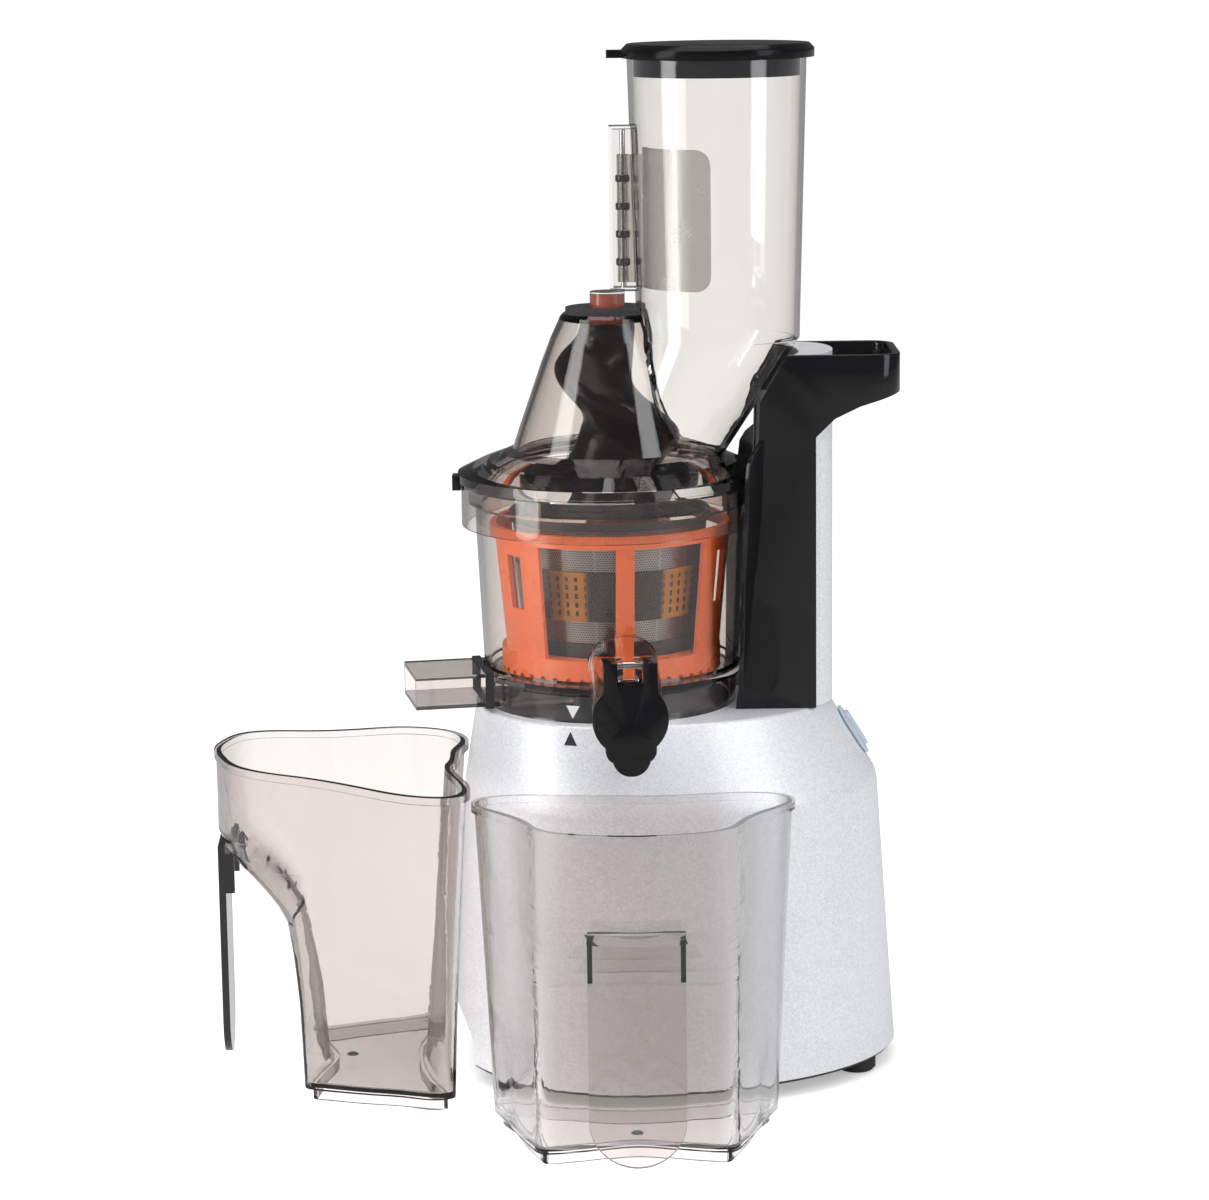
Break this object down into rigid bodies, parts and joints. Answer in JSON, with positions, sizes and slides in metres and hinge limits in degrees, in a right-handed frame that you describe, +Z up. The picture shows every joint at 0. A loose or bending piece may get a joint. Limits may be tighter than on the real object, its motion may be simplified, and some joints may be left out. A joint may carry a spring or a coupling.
{
  "type": "cold press juicer",
  "caption": "Upright slow juicer with a wide feed tube, clear bowl holding strainer, brush and screw, painted motor base with carrying column, and two clear jugs.",
  "frame": {"origin": "on the worktop, under the middle of the bounding box of the whole set, jugs included; the bowl and screw axis is 26.45 mm along +X and 57.20 mm along +Y from it", "axes": "+Z up along the bowl and screw axis; +X towards the column and handle; -Y towards the juice spout and its jug, -X towards the pulp spout and its jug"},
  "size_m": [0.3298, 0.3094, 0.4942],
  "materials": {
    "silver_paint": "silver-white metallic paint on plastic, satin",
    "black_plain": "black, low gloss",
    "foot_rubber": "black rubber",
    "screw_steel": "plated steel",
    "black_gloss": "black, glossy",
    "smoky_clear": "clear plastic with a warm smoky tint, polished",
    "silicone_dark": "dark silicone",
    "pin_steel": "ground steel",
    "mesh_steel": "perforated stainless steel",
    "amber": "clear amber, polished",
    "orange": "orange, semi-gloss",
    "silicone_clear": "translucent orange silicone",
    "gear_nylon": "natural nylon",
    "gear_orange": "acetal",
    "silicone_red": "red-brown silicone",
    "smoky_flap": "dark smoky translucent plastic",
    "case_grey": "glass-filled nylon",
    "bearing_metal": "sintered bronze",
    "motor_metal": "zinc plated",
    "lamination": "varnished laminations and windings",
    "board_green": "printed circuit board",
    "switch_grey": "pale blue-grey, glossy"
  },
  "bodies": {
    "base": {"base_housing": "silver_paint", "bottom_plate": "black_plain", "feet": "foot_rubber", "base_screws": "screw_steel", "cord_gland": "black_plain", "column_core": "silver_paint", "column_face": "black_gloss", "handle_band": "black_gloss", "handle_screws": "screw_steel", "gear_case": "case_grey", "gear_case_cover": "case_grey", "case_screws": "screw_steel", "upper_bearing": "bearing_metal", "lower_bearing": "bearing_metal", "deck_seal": "silicone_dark", "motor_can": "motor_metal", "stator": "lamination", "motor_screws": "screw_steel", "control_board": "board_green", "board_rails": "black_plain", "switch_body": "switch_grey", "bowl_seat": "black_plain"},
    "drive": {"drive_shaft": "pin_steel", "output_gear": "gear_nylon"},
    "layshaft_body": {"layshaft": "pin_steel", "layshaft_pinion": "screw_steel", "layshaft_gear": "gear_nylon"},
    "motor_body": {"rotor": "lamination", "motor_shaft": "pin_steel", "cooling_fan": "black_plain", "motor_pinion": "bearing_metal"},
    "rocker": {"switch_rocker": "switch_grey"},
    "bowl_body": {"bowl": "smoky_clear", "juice_spout": "smoky_clear", "pulp_spout": "smoky_clear", "bowl_shaft_seal": "silicone_dark", "pulp_spout_seal": "silicone_dark", "drip_stop_pin": "pin_steel", "strainer_base": "black_plain", "strainer_mesh": "mesh_steel", "strainer_band": "amber", "strainer_top_ring": "black_plain", "idler_pin": "pin_steel"},
    "screw_body": {"screw": "black_gloss", "screw_gear": "gear_nylon"},
    "idler": {"idler_gear": "gear_orange"},
    "brush": {"brush_frame": "orange", "wiper_blades": "silicone_clear"},
    "lid_body": {"lid": "smoky_clear", "feed_tube": "smoky_clear", "lid_tab": "black_plain", "dome_gasket": "silicone_dark", "screw_top_bush": "silicone_red", "gate_pin": "pin_steel"},
    "gate": {"feed_gate": "smoky_flap"},
    "cap": {"chute_cap": "black_gloss"},
    "stop": {"drip_stop": "black_gloss"},
    "juice_jug_body": {"juice_jug": "smoky_clear"},
    "pulp_jug_body": {"pulp_jug": "smoky_clear"}
  },
  "joints": [
    {"name": "shaft_spin", "type": "hinge", "parent": "base", "child": "drive", "pos_m": [0.02645, 0.0572, 0.15], "axis": [0, 0, 1], "continuous": true},
    {"name": "layshaft_spin", "type": "hinge", "parent": "base", "child": "layshaft_body", "pos_m": [0.06845, 0.0572, 0.14], "axis": [0, 0, 1], "continuous": true},
    {"name": "motor_spin", "type": "hinge", "parent": "base", "child": "motor_body", "pos_m": [0.10745, 0.0572, 0.08], "axis": [0, 0, 1], "continuous": true},
    {"name": "switch_rock", "type": "hinge", "parent": "base", "child": "rocker", "pos_m": [0.14365, 0.0572, 0.1615], "axis": [0, 1, 0], "range_deg": [-8, 8]},
    {"name": "bowl_lift", "type": "slide", "parent": "base", "child": "bowl_body", "axis": [0, 0, 1], "range_m": [0, 0.12]},
    {"name": "screw_spin", "type": "hinge", "parent": "bowl_body", "child": "screw_body", "pos_m": [0.02645, 0.0572, 0.25], "axis": [0, 0, 1], "continuous": true},
    {"name": "idler_spin", "type": "hinge", "parent": "bowl_body", "child": "idler", "pos_m": [0.02645, 0.0857, 0.199], "axis": [0, 0, 1], "continuous": true},
    {"name": "brush_spin", "type": "hinge", "parent": "bowl_body", "child": "brush", "pos_m": [0.02645, 0.0572, 0.23], "axis": [0, 0, 1], "continuous": true},
    {"name": "lid_lift", "type": "slide", "parent": "bowl_body", "child": "lid_body", "axis": [0, 0, 1], "range_m": [0, 0.12]},
    {"name": "gate_swing", "type": "hinge", "parent": "lid_body", "child": "gate", "pos_m": [0.03445, 0.0572, 0.412], "axis": [0, 0, 1], "range_deg": [0, 50]},
    {"name": "cap_lift", "type": "slide", "parent": "lid_body", "child": "cap", "axis": [0, 0, 1], "range_m": [0, 0.03]},
    {"name": "drip_stop_swing", "type": "hinge", "parent": "bowl_body", "child": "stop", "pos_m": [0.03403, -0.02947, 0.213], "axis": [-0.9962, -0.0872, 0], "range_deg": [0, 75]},
    {"name": "juice_jug_slide", "type": "slide", "parent": "base", "child": "juice_jug_body", "axis": [0, -1, 0], "range_m": [0, 0.09]},
    {"name": "pulp_jug_slide", "type": "slide", "parent": "base", "child": "pulp_jug_body", "axis": [-1, 0, 0], "range_m": [0, 0.09]}
  ],
  "couplings": [
    {"joint": "layshaft_spin", "follows": "shaft_spin", "ratio": -3},
    {"joint": "motor_spin", "follows": "shaft_spin", "ratio": 10},
    {"joint": "screw_spin", "follows": "shaft_spin", "ratio": 1},
    {"joint": "idler_spin", "follows": "shaft_spin", "ratio": -1.1111},
    {"joint": "brush_spin", "follows": "shaft_spin", "ratio": -0.35714}
  ]
}
